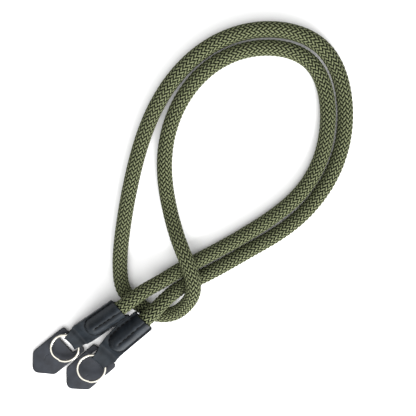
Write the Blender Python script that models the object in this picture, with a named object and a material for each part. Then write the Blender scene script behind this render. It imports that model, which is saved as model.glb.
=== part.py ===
"""Braided rope neck strap for a camera, doubled over and laid flat.

One round braided rope runs from one leather end to the other. Each leather end is a strip
folded over a split ring and a lug guard, and closed round the end of the rope.
X and Y lie on the table, Z is up. Tables are in millimetres and degrees.
"""
import math

import bmesh
import bpy
import numpy as np

MM = 0.001

# ---- rope -------------------------------------------------------------------------------
ROPE_RADIUS = 5.0
ROPE_SAGITTA = 0.31
ROPE_LONGEST_CHORD = 24.0
SLEEVE_CHORD = 11.0
SLEEVE_RUN = 42.0
IN_SLEEVE = (28.6, 20.0, 11.0, 3.0, -5.0)

# The free rope from the mouth of sleeve a to the mouth of sleeve b: middle of the rope.
# It runs up the lower pair, round the right and the top, down the left, over both end
# strands, curls under them beside the sleeves, and goes back round outside itself.
ROUTE_COLUMNS = ("x", "y", "z")
ROUTE = (
    (-44.1, -53.7, 15.1),
    (-32.1, -47.6, 11.2),
    (-20.1, -41.3, 7.0),
    (-4.8, -33.3, 5.1),
    (31.7, -12.0, 5.0),
    (62.8, 15.3, 5.0),
    (75.4, 54.9, 5.0),
    (63.0, 93.4, 5.0),
    (22.9, 100.3, 5.0),
    (-9.4, 80.1, 5.0),
    (-26.6, 42.2, 5.0),
    (-24.7, 0.6, 6.5),
    (-16.4, -24.7, 15.4),
    (-11.3, -37.7, 17.3),
    (-9.5, -51.6, 16.1),
    (-14.8, -63.4, 10.5),
    (-22.6, -70.4, 6.8),
    (-34.0, -72.0, 5.0),
    (-45.9, -65.0, 5.0),
    (-55.3, -55.9, 5.0),
    (-58.1, -42.3, 5.0),
    (-55.7, -14.4, 5.0),
    (-47.1, 26.9, 5.0),
    (-34.0, 63.2, 5.0),
    (-8.1, 96.3, 5.0),
    (30.2, 112.5, 5.0),
    (70.0, 102.2, 5.0),
    (86.1, 64.6, 5.0),
    (79.3, 23.3, 5.0),
    (53.7, -10.0, 5.0),
    (27.0, -27.5, 5.0),
    (-3.4, -45.0, 5.1),
    (-16.1, -51.2, 6.5),
    (-29.7, -59.8, 14.7),
)

# ---- leather ends ------------------------------------------------------------------------
LEATHER = 1.2
SEAM_GAP = 0.3
TAB_HALF_WIDTH = 6.3
FOLD_HALF_WIDTH = 5.25
ARCH_RADIUS = ROPE_RADIUS + 0.4 + LEATHER / 2
SEAM_RISE = (LEATHER + SEAM_GAP) / 2
SLEEVE_FULL = 29.8
SLEEVE_FULL_HEIGHT = 6.42
SLEEVE_CLOSED = 36.0
SLEEVE_CLOSED_HEIGHT = 4.0
TAB_BOTTOM = LEATHER / 2 + 0.02
MOUTH_CUT_TOP = 0.72
MOUTH_CUT_LOW = 0.28
FOLD_TOP_RADIUS = 1.4
FOLD_BOTTOM_RADIUS = 1.2
FOLD_BOW = 0.7

# Cross-section of one leather layer over the rope: distances out from its middle. It
# follows the round of the rope, then comes down over a shoulder to the flat seam.
ACROSS = (0.0, 1.7, 3.2, 4.4, 5.2, 5.75, 6.25, 6.8, 7.6)
SHOULDER_RISE = {5.75: 1.95, 6.25: 1.2, 6.8: 0.85, 7.6: 0.75}

# ---- split ring --------------------------------------------------------------------------
RING_OUTER_RADIUS = 10.0
RING_WIRE_WIDTH = 1.3
RING_WIRE_HEIGHT = 0.8
RING_COIL_GAP = 0.12
RING_RAMP = 38.0
RING_STEP = 8.0

# ---- lug guard ---------------------------------------------------------------------------
GUARD_THICKNESS = 1.6
GUARD_HALF_WIDTH = 11.1
GUARD_BRIDGE = 2.0
GUARD_SLOT = 5.9
GUARD_SLOT_HALF_WIDTH = 6.9
GUARD_EAR_RADIUS = 2.4
GUARD_SIDE_RADIUS = 4.0
GUARD_TIP_RADIUS = 4.2
GUARD_EDGE = 0.25
GUARD_LIFT = 1.6

# ---- the two ends ------------------------------------------------------------------------
# mouth_x, mouth_y, mouth_z: middle of the rope where it enters the sleeve
# heading: plan direction of the sleeve, guard_heading: of its ring and guard
# half_wide: half the width of the sleeve, fold: how far past the mouth the tab folds down
# slot_end: where the guard's slot ends, front: guard length from its slot to its tip
# side: how far the tab and guard lie to the left, tab_top: height of the tab over the ring
# ring_reach: ring's middle past the fold, ring_side: how far it lies to the tab's left
# ring_turn: where the ring's wire starts, ring_tilt: how far its tip side is lifted
END_COLUMNS = ("name", "mouth_x", "mouth_y", "mouth_z", "heading", "guard_heading",
               "half_wide", "fold", "slot_end", "front", "side", "tab_top",
               "ring_reach", "ring_side", "ring_turn", "ring_tilt")
ENDS = (
    ("a", -58.4, -64.6, 14.6, -141.3, -140.2,
     7.4, 44.9, 49.2, 30.2, -0.3, 6.4, 5.2, 0.5, -22.0, 6.0),
    ("b", -42.3, -72.3, 15.8, -134.2, -137.4,
     7.8, 47.6, 48.7, 28.5, 1.0, 6.8, 5.9, 0.0, -10.0, 12.0),
)

# ---- where the row's origin stands on the plan -------------------------------------------
ORIGIN_X = -78.73
ORIGIN_Y = -93.30

# ---- colours -----------------------------------------------------------------------------
FINISHES = {
    "braided_cord": ((0.125, 0.145, 0.071), 0.0, 0.85),
    "black_leather": ((0.020, 0.021, 0.026), 0.0, 0.50),
    "nickel_steel": ((0.78, 0.76, 0.72), 1.0, 0.22),
}


def ease(x):
    """Smooth step from 0 at x = 0 to 1 at x = 1."""
    x = min(max(x, 0.0), 1.0)
    return x * x * (3.0 - 2.0 * x)


def make_material(name):
    colour, metallic, roughness = FINISHES[name]
    material = bpy.data.materials.new(name)
    material.use_nodes = True
    shader = material.node_tree.nodes["Principled BSDF"]
    shader.inputs["Base Color"].default_value = (*colour, 1.0)
    shader.inputs["Metallic"].default_value = metallic
    shader.inputs["Roughness"].default_value = roughness
    return material


def add_mesh(name, bm, material):
    """A bmesh in millimetres becomes an object in metres with outward faces."""
    bmesh.ops.recalc_face_normals(bm, faces=bm.faces)
    bmesh.ops.scale(bm, vec=(MM, MM, MM), verts=bm.verts)
    mesh = bpy.data.meshes.new(name)
    bm.to_mesh(mesh)
    bm.free()
    mesh.materials.append(material)
    obj = bpy.data.objects.new(name, mesh)
    bpy.context.scene.collection.objects.link(obj)
    return obj


# ---- plan line and heights of one end ----------------------------------------------------
class End:
    """One leather end, with u along it from its mouth, v to its left and z up."""

    def __init__(self, row):
        for column, value in zip(END_COLUMNS, row):
            setattr(self, column, value)
        self.slope = (self.mouth_z - SLEEVE_FULL_HEIGHT) / SLEEVE_FULL
        self.shoulder = self.fold - 8.8
        step = 0.1
        self.line = [(self.mouth_x, self.mouth_y)]
        for i in range(1000):
            angle = math.radians(self.heading_at(i * step))
            x, y = self.line[-1]
            self.line.append((x + step * math.cos(angle), y + step * math.sin(angle)))

    def heading_at(self, u):
        turn = ease((u - 33.0) / 8.0)
        return self.heading + (self.guard_heading - self.heading) * turn

    def place(self, u, v, z):
        """The point of the table frame at u, v and z of this end."""
        k = min(max(u, 0.0), 99.9) / 0.1
        i = int(k)
        f = k - i
        x = self.line[i][0] * (1 - f) + self.line[i + 1][0] * f
        y = self.line[i][1] * (1 - f) + self.line[i + 1][1] * f
        angle = math.radians(self.heading_at(u))
        if u < 0.0:
            x += u * math.cos(angle)
            y += u * math.sin(angle)
        v += self.side * ease((u - 30.0) / 11.0)
        return (x - v * math.sin(angle), y + v * math.cos(angle), z)

    def middle(self, u):
        """Height of the seam between the two layers."""
        if u <= SLEEVE_FULL:
            return self.mouth_z - self.slope * u
        d = u - SLEEVE_FULL
        span = SLEEVE_CLOSED - SLEEVE_FULL
        fall = SLEEVE_FULL_HEIGHT - SLEEVE_CLOSED_HEIGHT - 0.5 * self.slope * span
        return SLEEVE_FULL_HEIGHT - 0.5 * self.slope * d - fall * ease(d / span)

    def lean(self, u):
        """Slope of the sections of the sleeve, which stand square to the rope."""
        return math.atan(self.slope) * (1.0 - ease((u - SLEEVE_FULL) / 6.0))

    def fullness(self, u):
        """1 where the layers wrap the rope, 0 where they lie on each other."""
        return 1.0 - ease((u - SLEEVE_FULL) / (SLEEVE_CLOSED - SLEEVE_FULL - 0.6))

    def half_width(self, u):
        narrow = ease((u - self.shoulder) / 2.2)
        pinch = ease((u - self.fold + 5.2) / 3.6)
        wide = self.half_wide + (TAB_HALF_WIDTH - self.half_wide) * narrow
        return wide + (FOLD_HALF_WIDTH - TAB_HALF_WIDTH) * pinch

    def guard_start(self):
        return self.slot_end - GUARD_SLOT - GUARD_BRIDGE

    def guard_tip(self):
        return self.slot_end + self.front

    def guard_pitch(self):
        return math.asin(GUARD_LIFT / (self.guard_tip() - self.guard_start()))

    def guard_under(self, u):
        """Height of the guard's underside at u."""
        return GUARD_LIFT * (self.guard_tip() - u) / (self.guard_tip() - self.guard_start())


def layer_rise(out, full):
    """How far a layer stands off the seam's middle at a distance out from its middle."""
    flat = SEAM_RISE
    if out in SHOULDER_RISE:
        rise = SHOULDER_RISE[out]
    else:
        rise = math.sqrt(ARCH_RADIUS ** 2 - out ** 2)
    return flat + (rise - flat) * full


def sleeve_stations(end):
    """The strip's middle surface, a row of points for each station from mouth to mouth."""
    outs = list(ACROSS)
    signed = [-out for out in reversed(outs[1:])] + outs
    neck = [SLEEVE_FULL + d for d in (1.0, 2.0, 3.0, 4.0, 5.0, 6.2)]
    body = [0.0, 2.5, 5.0, 10.0, 15.0, 20.0, 25.0, SLEEVE_FULL] + neck
    tab = [u for u in (37.2, 38.4, 39.6, 40.8) if u < end.fold - 4.6]
    rows = []

    def body_row(u, side):
        row = []
        full = end.fullness(u)
        lean = end.lean(u)
        cut = (MOUTH_CUT_TOP if side > 0 else MOUTH_CUT_LOW) * (1.0 - ease(u / 6.0))
        wide = end.half_width(u) - outs[-1]
        for out in signed:
            rise = side * layer_rise(abs(out), full)
            at = u - rise * cut
            z = end.middle(at) + rise * math.cos(lean)
            z = max(z, TAB_BOTTOM)
            v = out + math.copysign(wide * ease(abs(out) / outs[-1]), out)
            row.append((at + rise * math.sin(lean), v, z))
        return row

    def flat_row(u, z, bow):
        row = []
        for out in signed:
            across = out / outs[-1]
            row.append((u + bow * across ** 2, across * end.half_width(u), z))
        return row

    for u in body:
        rows.append(body_row(u, 1))
    top_from = SLEEVE_CLOSED
    top_to = end.fold - 5.9
    closed = end.middle(SLEEVE_CLOSED)
    for u in tab + [end.fold - 4.4, end.fold - 3.2]:
        blend = ease((u - top_from) / (top_to - top_from))
        z = closed + SEAM_RISE + (end.tab_top - closed - SEAM_RISE) * blend
        rows.append(flat_row(u, z, FOLD_BOW * ease((u - end.fold + 5.0) / 3.0)))
    wall = end.fold - LEATHER / 2
    for angle in (90.0, 64.0, 36.0, 10.0):
        a = math.radians(angle)
        u = wall - FOLD_TOP_RADIUS + FOLD_TOP_RADIUS * math.cos(a)
        z = end.tab_top - FOLD_TOP_RADIUS + FOLD_TOP_RADIUS * math.sin(a)
        rows.append(flat_row(u, z, FOLD_BOW))
    rows.append(flat_row(wall, 0.5 * (end.tab_top + TAB_BOTTOM), FOLD_BOW))
    for angle in (-8.0, -36.0, -62.0, -90.0):
        a = math.radians(angle)
        u = wall - FOLD_BOTTOM_RADIUS + FOLD_BOTTOM_RADIUS * math.cos(a)
        z = TAB_BOTTOM + FOLD_BOTTOM_RADIUS + FOLD_BOTTOM_RADIUS * math.sin(a)
        rows.append(flat_row(u, z, FOLD_BOW * (1.0 + math.sin(a) * 0.5)))
    low_to = end.guard_start() - 0.5
    under = [u for u in (43.2, 42.0) if u < end.fold - 3.4] + [low_to]
    for u in under:
        rows.append(flat_row(u, TAB_BOTTOM, 0.0))
    for u in (39.2, 38.2, 37.1):
        blend = ease((low_to - u) / (low_to - SLEEVE_CLOSED))
        z = TAB_BOTTOM + (closed - SEAM_RISE - TAB_BOTTOM) * blend
        rows.append(flat_row(u, z, 0.0))
    for u in reversed(body):
        rows.append(body_row(u, -1))
    return rows


def build_sleeve(end, material):
    """The leather strip: its middle surface given a thickness and closed edges."""
    rows = sleeve_stations(end)
    grid = np.array([[end.place(u, v, z) for u, v, z in row] for row in rows])
    along = np.gradient(grid, axis=0)
    across = np.gradient(grid, axis=1)
    normal = np.cross(along, across)
    normal /= np.linalg.norm(normal, axis=2)[:, :, None]
    outer = grid + normal * (LEATHER / 2)
    inner = grid - normal * (LEATHER / 2)
    bm = bmesh.new()
    count_i, count_j = grid.shape[:2]
    out_v = [[bm.verts.new(outer[i, j]) for j in range(count_j)] for i in range(count_i)]
    in_v = [[bm.verts.new(inner[i, j]) for j in range(count_j)] for i in range(count_i)]
    for i in range(count_i - 1):
        for j in range(count_j - 1):
            bm.faces.new((out_v[i][j], out_v[i + 1][j], out_v[i + 1][j + 1], out_v[i][j + 1]))
            bm.faces.new((in_v[i][j], in_v[i][j + 1], in_v[i + 1][j + 1], in_v[i + 1][j]))
        for j in (0, count_j - 1):
            bm.faces.new((out_v[i][j], out_v[i + 1][j], in_v[i + 1][j], in_v[i][j]))
    for i in (0, count_i - 1):
        for j in range(count_j - 1):
            bm.faces.new((out_v[i][j], out_v[i][j + 1], in_v[i][j + 1], in_v[i][j]))
    return add_mesh("leather_sleeve_" + end.name, bm, material)


# ---- split ring --------------------------------------------------------------------------
def build_ring(end, material):
    """Two coils of flat wire, one on the other, with a ramp from the lower to the upper."""
    middle = RING_OUTER_RADIUS - RING_WIRE_WIDTH / 2
    lift = RING_WIRE_HEIGHT + RING_COIL_GAP
    total = 720.0 - RING_RAMP - 7.0
    half_w = RING_WIRE_WIDTH / 2
    half_h = RING_WIRE_HEIGHT / 2
    edge = 0.22
    section = (
        (half_w, half_h - edge), (half_w - edge, half_h),
        (-half_w + edge, half_h), (-half_w, half_h - edge),
        (-half_w, -half_h + edge), (-half_w + edge, -half_h),
        (half_w - edge, -half_h), (half_w, -half_h + edge),
    )
    bm = bmesh.new()
    count = int(round(total / RING_STEP))
    loops = []
    for k in range(count + 1):
        angle = total * k / count
        rise = lift * ease((angle - 360.0 + RING_RAMP) / RING_RAMP)
        a = math.radians(angle + end.ring_turn)
        loop = []
        for r, h in section:
            x = (middle + r) * math.cos(a)
            y = (middle + r) * math.sin(a)
            loop.append(bm.verts.new((x, y, half_h + rise + h)))
        loops.append(loop)
    sides = len(section)
    for low, high in zip(loops, loops[1:]):
        for k in range(sides):
            n = (k + 1) % sides
            bm.faces.new((low[k], low[n], high[n], high[k]))
    bm.faces.new(loops[0])
    bm.faces.new(loops[-1])
    ring = add_mesh("split_ring_" + end.name, bm, material)
    u = end.fold + end.ring_reach
    low = end.guard_under(end.fold - 5.0) + GUARD_THICKNESS + 0.3
    heading = math.radians(end.guard_heading)
    x, y, _ = end.place(u, end.ring_side, 0.0)
    pitch = end.guard_pitch() - math.radians(end.ring_tilt)
    drop = (RING_OUTER_RADIUS * math.sin(pitch))
    ring.location = (x * MM, y * MM, (low - drop) * MM)
    ring.rotation_euler = (0.0, pitch, heading)
    return ring


# ---- lug guard ---------------------------------------------------------------------------
def rounded_outline(corners, inset):
    """A closed outline with a round at each corner, pulled in all round by inset.

    corners: x, y, radius of each corner, counter-clockwise."""
    points = []
    n = len(corners)
    for i in range(n):
        px, py, _ = corners[i - 1]
        cx, cy, radius = corners[i]
        nx, ny, _ = corners[(i + 1) % n]
        before = np.array((cx - px, cy - py)) / math.hypot(cx - px, cy - py)
        after = np.array((nx - cx, ny - cy)) / math.hypot(nx - cx, ny - cy)
        turn = math.atan2(before[0] * after[1] - before[1] * after[0], before @ after)
        left = np.array((-before[1], before[0]))
        reach = radius * math.tan(turn / 2)
        centre = np.array((cx, cy)) - before * reach + left * radius
        steps = max(2, int(round(math.degrees(turn) / 18.0)))
        start = math.atan2(-left[1], -left[0])
        for k in range(steps + 1):
            a = start + turn * k / steps
            r = radius - inset
            points.append((centre[0] + r * math.cos(a), centre[1] + r * math.sin(a)))
    return points


def build_guard(end, material):
    """A home-plate shaped leather guard with a slot for the tab near its straight end."""
    half = GUARD_HALF_WIDTH
    near = GUARD_BRIDGE
    far = GUARD_BRIDGE + GUARD_SLOT
    tip = far + end.front + GUARD_TIP_RADIUS * (math.sqrt(2.0) - 1.0)
    plate = (
        (0.0, -half, GUARD_EAR_RADIUS),
        (tip - half, -half, GUARD_SIDE_RADIUS),
        (tip, 0.0, GUARD_TIP_RADIUS),
        (tip - half, half, GUARD_SIDE_RADIUS),
        (0.0, half, GUARD_EAR_RADIUS),
    )
    wide = GUARD_SLOT_HALF_WIDTH
    slot = ((near, -wide, 0.8), (far, -wide, 0.8), (far, wide, 0.8), (near, wide, 0.8))
    levels = (
        (0.0, GUARD_EDGE),
        (GUARD_EDGE, 0.0),
        (GUARD_THICKNESS - GUARD_EDGE, 0.0),
        (GUARD_THICKNESS, GUARD_EDGE),
    )
    bm = bmesh.new()
    stacks = {}
    for kind, corners, side in (("plate", plate, 1.0), ("slot", slot, -1.0)):
        loops = []
        for z, inset in levels:
            outline = rounded_outline(corners, side * inset)
            loops.append([bm.verts.new((x, y, z)) for x, y in outline])
        for low, high in zip(loops, loops[1:]):
            n = len(low)
            for k in range(n):
                bm.faces.new((low[k], low[(k + 1) % n], high[(k + 1) % n], high[k]))
        stacks[kind] = loops
    for level in (0, -1):
        edges = []
        for kind in ("plate", "slot"):
            loop = stacks[kind][level]
            for k, vert in enumerate(loop):
                edge = bm.edges.get((vert, loop[(k + 1) % len(loop)]))
                edges.append(edge)
        bmesh.ops.triangle_fill(bm, use_beauty=True, use_dissolve=False, edges=edges)
    guard = add_mesh("lug_guard_" + end.name, bm, material)
    x, y, _ = end.place(42.0, 0.0, 0.0)
    heading = math.radians(end.guard_heading)
    back = 42.0 - end.guard_start()
    x -= back * math.cos(heading)
    y -= back * math.sin(heading)
    guard.location = (x * MM, y * MM, GUARD_LIFT * MM)
    guard.rotation_euler = (0.0, end.guard_pitch(), heading)
    return guard


# ---- rope --------------------------------------------------------------------------------
def route_points(ends):
    """The rope's whole route: inside one sleeve, the free rope, inside the other."""
    first, last = ends
    points = []
    for u in IN_SLEEVE:
        points.append(first.place(u, 0.0, first.middle(u)))
    points.extend(ROUTE)
    for u in reversed(IN_SLEEVE):
        points.append(last.place(u, 0.0, last.middle(u)))
    return np.array(points)


def smooth_line(points, step):
    """A natural cubic spline through the points, read every step along it."""
    gaps = np.linalg.norm(np.diff(points, axis=0), axis=1)
    t = np.concatenate(([0.0], np.cumsum(gaps)))
    n = len(points)
    matrix = np.eye(n)
    right = np.zeros((n, 3))
    for i in range(1, n - 1):
        matrix[i, i - 1:i + 2] = (gaps[i - 1], 2.0 * (gaps[i - 1] + gaps[i]), gaps[i])
        after = (points[i + 1] - points[i]) / gaps[i]
        before = (points[i] - points[i - 1]) / gaps[i - 1]
        right[i] = 6.0 * (after - before)
    bend = np.linalg.solve(matrix, right)
    line = []
    for x in np.append(np.arange(0.0, t[-1], step), t[-1]):
        i = min(max(int(np.searchsorted(t, x)) - 1, 0), n - 2)
        h = gaps[i]
        a = (t[i + 1] - x) / h
        b = (x - t[i]) / h
        point = a * points[i] + b * points[i + 1]
        point = point + ((a ** 3 - a) * bend[i] + (b ** 3 - b) * bend[i + 1]) * h * h / 6.0
        point[2] = max(point[2], ROPE_RADIUS)
        line.append(point)
    return np.array(line)


def tube_points(line):
    """Fewer points of the line, close together in its bends and far apart on its runs."""
    seg = np.linalg.norm(np.diff(line, axis=0), axis=1)
    direction = np.diff(line, axis=0) / seg[:, None]
    turn = np.linalg.norm(np.diff(direction, axis=0), axis=1)
    bend = np.concatenate(([0.0], turn / (0.5 * (seg[1:] + seg[:-1])), [0.0]))
    kernel = np.ones(9) / 9.0
    bend = np.convolve(np.pad(bend, 4, mode="edge"), kernel, mode="valid")
    chord = np.sqrt(8.0 * ROPE_SAGITTA / np.maximum(bend, 1e-6))
    chord = np.clip(chord, 6.0, ROPE_LONGEST_CHORD)
    along = np.concatenate(([0.0], np.cumsum(seg)))
    from_end = np.minimum(along, along[-1] - along)
    chord = np.where(from_end < SLEEVE_RUN, np.minimum(chord, SLEEVE_CHORD), chord)
    need = 0.5 * (1.0 / chord[1:] + 1.0 / chord[:-1]) * seg
    total = np.concatenate(([0.0], np.cumsum(need)))
    count = int(math.ceil(total[-1]))
    marks = np.linspace(0.0, total[-1], count + 1)
    return np.array([[np.interp(m, total, line[:, k]) for k in range(3)] for m in marks])


def build_rope(ends, material):
    points = tube_points(smooth_line(route_points(ends), 1.0))
    curve = bpy.data.curves.new("neck_rope", "CURVE")
    curve.dimensions = "3D"
    curve.bevel_depth = ROPE_RADIUS * MM
    curve.bevel_resolution = 4
    curve.use_fill_caps = True
    curve.resolution_u = 1
    spline = curve.splines.new("POLY")
    spline.points.add(len(points) - 1)
    for target, point in zip(spline.points, points):
        target.co = (point[0] * MM, point[1] * MM, point[2] * MM, 1.0)
    curve.materials.append(material)
    rope = bpy.data.objects.new("neck_rope", curve)
    bpy.context.scene.collection.objects.link(rope)
    return rope


# ---- the whole strap ---------------------------------------------------------------------
def main():
    for obj in list(bpy.data.objects):
        bpy.data.objects.remove(obj, do_unlink=True)
    materials = {name: make_material(name) for name in FINISHES}
    ends = [End(row) for row in ENDS]
    objects = [build_rope(ends, materials["braided_cord"])]
    for end in ends:
        objects.append(build_sleeve(end, materials["black_leather"]))
        objects.append(build_ring(end, materials["nickel_steel"]))
        objects.append(build_guard(end, materials["black_leather"]))
    for obj in objects:
        obj.location.x -= ORIGIN_X * MM
        obj.location.y -= ORIGIN_Y * MM


main()
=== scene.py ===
"""Braided rope neck strap for a camera: the visible model round its CAD frame.

Sizes are in millimetres and degrees, on the same plan as the part's own source, and
put() turns them into the frame's metres.
"""
import math

import bpy
import numpy as np
from mathutils import Matrix, Vector


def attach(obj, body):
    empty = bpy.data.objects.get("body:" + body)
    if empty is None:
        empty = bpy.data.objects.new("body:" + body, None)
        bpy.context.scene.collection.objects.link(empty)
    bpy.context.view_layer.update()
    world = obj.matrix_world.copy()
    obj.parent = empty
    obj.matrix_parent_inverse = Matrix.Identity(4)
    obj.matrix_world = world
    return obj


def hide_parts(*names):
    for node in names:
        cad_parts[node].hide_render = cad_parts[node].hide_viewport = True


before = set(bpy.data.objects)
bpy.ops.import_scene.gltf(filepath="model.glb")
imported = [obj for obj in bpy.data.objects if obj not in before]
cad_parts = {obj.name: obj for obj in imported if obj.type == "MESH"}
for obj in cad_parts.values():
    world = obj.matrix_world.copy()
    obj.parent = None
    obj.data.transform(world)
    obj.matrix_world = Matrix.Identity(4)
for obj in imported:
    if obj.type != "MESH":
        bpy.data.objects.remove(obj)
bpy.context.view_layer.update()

MM = 0.001
ORIGIN = (-78.73, -93.30)


def put(point):
    """A point of the plan, in millimetres, becomes a point of the frame, in metres."""
    return ((point[0] - ORIGIN[0]) * MM, (point[1] - ORIGIN[1]) * MM, point[2] * MM)


# ---- camera --------------------------------------------------------------------------------
# The strap lies flat and is seen from above its round end, a little off the vertical.
CAMERA_PLACE = (0.0, 88.62, 416.91)
CAMERA_TILT = -12.0
SENSOR = 36.0
LENS = 56.25
NEAREST_SEEN = 0.01
FARTHEST_SEEN = 20.0

camera_data = bpy.data.cameras.new("camera")
camera_data.sensor_width = SENSOR
camera_data.lens = LENS
camera_data.clip_start = NEAREST_SEEN
camera_data.clip_end = FARTHEST_SEEN
camera = bpy.data.objects.new("camera", camera_data)
bpy.context.scene.collection.objects.link(camera)
camera.location = put(CAMERA_PLACE)
camera.rotation_euler = (math.radians(CAMERA_TILT), 0.0, 0.0)
bpy.context.scene.camera = camera


# ---- helpers -------------------------------------------------------------------------------
def ease(x):
    """Smooth step from 0 at x = 0 to 1 at x = 1."""
    x = min(max(x, 0.0), 1.0)
    return x * x * (3.0 - 2.0 * x)


def colour(hex_code):
    """An sRGB hex colour as linear red, green, blue and alpha."""
    out = []
    for i in (0, 2, 4):
        c = int(hex_code[i:i + 2], 16) / 255.0
        out.append(c / 12.92 if c <= 0.04045 else ((c + 0.055) / 1.055) ** 2.4)
    return (*out, 1.0)


def new_material(name, values):
    """A material and its shader, with the shader's own values set."""
    material = bpy.data.materials.new(name)
    material.use_nodes = True
    shader = material.node_tree.nodes["Principled BSDF"]
    for key, value in values.items():
        shader.inputs[key].default_value = value
    return material, shader


def set_stops(elements, stops):
    """Gives a colour ramp its stops, each a place and a hex colour."""
    while len(elements) < len(stops):
        elements.new(0.5)
    for element, (place, code) in zip(elements, stops):
        element.position = place
        element.color = colour(code)


def node(material, kind, settings=None, **links):
    """Adds a node with its settings, values and links, and gives it back.

    A setting is one of the node's own, the stops of a ramp, or an input's value by name
    or number. A link is an output socket, under the input's name or i and its number."""
    made = material.node_tree.nodes.new(kind)
    for key, value in (settings or {}).items():
        if key == "stops":
            set_stops(made.color_ramp.elements, value)
        elif isinstance(key, str) and hasattr(made, key):
            setattr(made, key, value)
        else:
            made.inputs[key].default_value = value
    for key, socket in links.items():
        index = int(key[1:]) if key[0] == "i" else key
        material.node_tree.links.new(socket, made.inputs[index])
    return made


def join(material, shader, **links):
    """Links output sockets to the shader, under its inputs' names with _ for a space."""
    for key, socket in links.items():
        material.node_tree.links.new(socket, shader.inputs[key.replace("_", " ")])


def marks(size):
    """The scale, on Object coordinates, of a pattern whose marks are so many mm wide."""
    return 1.0 / (size * MM)


def deselect():
    if bpy.context.mode != "OBJECT":
        bpy.ops.object.mode_set(mode="OBJECT")
    bpy.ops.object.select_all(action="DESELECT")


def choose(obj):
    deselect()
    obj.select_set(True)
    bpy.context.view_layer.objects.active = obj


def finish_modifiers(obj):
    choose(obj)
    for modifier in list(obj.modifiers):
        bpy.ops.object.modifier_apply(modifier=modifier.name)


def settle(obj):
    """Moves an object's place and turn into its mesh."""
    choose(obj)
    bpy.ops.object.transform_apply(location=True, rotation=True, scale=True)


def face_outwards(obj):
    choose(obj)
    bpy.ops.object.mode_set(mode="EDIT")
    bpy.ops.mesh.select_all(action="SELECT")
    bpy.ops.mesh.normals_make_consistent(inside=False)
    bpy.ops.object.mode_set(mode="OBJECT")


def round_edges(obj, width, segments, sharpest):
    """Adds a bevel to the edges that are sharper than an angle."""
    edge = obj.modifiers.new("cut_edge", "BEVEL")
    edge.width = width * MM
    edge.segments = segments
    edge.limit_method = "ANGLE"
    edge.angle_limit = math.radians(sharpest)


def smooth_mesh(name, points, faces):
    """A smooth shaded object from an array of points of the plan, and faces."""
    points = (points - np.array((*ORIGIN, 0.0))) * MM
    mesh = bpy.data.meshes.new(name)
    mesh.from_pydata(points.tolist(), [], faces)
    mesh.polygons.foreach_set("use_smooth", [True] * len(mesh.polygons))
    obj = bpy.data.objects.new(name, mesh)
    bpy.context.scene.collection.objects.link(obj)
    return obj


# ---- rope route ----------------------------------------------------------------------------
FLOOR_GAP = 0.02
ROPE_RADIUS = 5.0
# The rope's middle line: places along the sleeve at each end, and points of the plan between.
IN_SLEEVE = (28.6, 20.0, 11.0, 3.0, -5.0)
ROUTE_STEP = 0.4
ROUTE = (
    (-44.1, -53.7, 15.1),
    (-32.1, -47.6, 11.2),
    (-20.1, -41.3, 7.0),
    (-4.8, -33.3, 5.1),
    (31.7, -12.0, 5.0),
    (62.8, 15.3, 5.0),
    (75.4, 54.9, 5.0),
    (63.0, 93.4, 5.0),
    (22.9, 100.3, 5.0),
    (-9.4, 80.1, 5.0),
    (-26.6, 42.2, 5.0),
    (-24.7, 0.6, 6.5),
    (-16.4, -24.7, 15.4),
    (-11.3, -37.7, 17.3),
    (-9.5, -51.6, 16.1),
    (-14.8, -63.4, 10.5),
    (-22.6, -70.4, 6.8),
    (-34.0, -72.0, 5.0),
    (-45.9, -65.0, 5.0),
    (-55.3, -55.9, 5.0),
    (-58.1, -42.3, 5.0),
    (-55.7, -14.4, 5.0),
    (-47.1, 26.9, 5.0),
    (-34.0, 63.2, 5.0),
    (-8.1, 96.3, 5.0),
    (30.2, 112.5, 5.0),
    (70.0, 102.2, 5.0),
    (86.1, 64.6, 5.0),
    (79.3, 23.3, 5.0),
    (53.7, -10.0, 5.0),
    (27.0, -27.5, 5.0),
    (-3.4, -45.0, 5.1),
    (-16.1, -51.2, 6.5),
    (-29.7, -59.8, 14.7),
)

# ---- leather ends --------------------------------------------------------------------------
LEATHER = 1.2
SEAM_GAP = 0.3
TAB_HALF_WIDTH = 6.3
FOLD_HALF_WIDTH = 5.25
ARCH_RADIUS = ROPE_RADIUS + 0.4 + LEATHER / 2
SEAM_RISE = (LEATHER + SEAM_GAP) / 2
SLEEVE_FULL = 29.8
SLEEVE_FULL_HEIGHT = 6.42
SLEEVE_CLOSED = 36.0
SLEEVE_CLOSED_HEIGHT = 4.0
SLEEVE_LEAN_FADE = 6.0
TAB_BOTTOM = LEATHER / 2 + FLOOR_GAP
MOUTH_CUT_TOP = 0.72
MOUTH_CUT_LOW = 0.28
FOLD_TOP_RADIUS = 1.4
FOLD_BOTTOM_RADIUS = 1.2
FOLD_BOW = 0.7
# Along the sleeve: where its tab turns, moves sideways, narrows and is pinched at the fold.
TURN_FROM = 33.0
TURN_LENGTH = 8.0
ASIDE_FROM = 30.0
ASIDE_LENGTH = 11.0
SHOULDER_TO_FOLD = 8.8
SHOULDER_LENGTH = 2.2
PINCH_TO_FOLD = 5.2
PINCH_LENGTH = 3.6

RING_OUTER_RADIUS = 10.0
RING_WIRE_WIDTH = 1.3
RING_WIRE_HEIGHT = 0.8
RING_COIL_GAP = 0.12
# The angle in which the wire steps up to its second coil, and by which it misses two turns.
RING_RAMP = 38.0
RING_OPEN = 7.0

GUARD_THICKNESS = 1.6
GUARD_HALF_WIDTH = 11.1
GUARD_BRIDGE = 2.0
GUARD_SLOT = 5.9
GUARD_SLOT_HALF_WIDTH = 6.9
GUARD_EAR_RADIUS = 2.4
GUARD_SIDE_RADIUS = 4.0
GUARD_TIP_RADIUS = 4.2
GUARD_LIFT = 1.6

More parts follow.
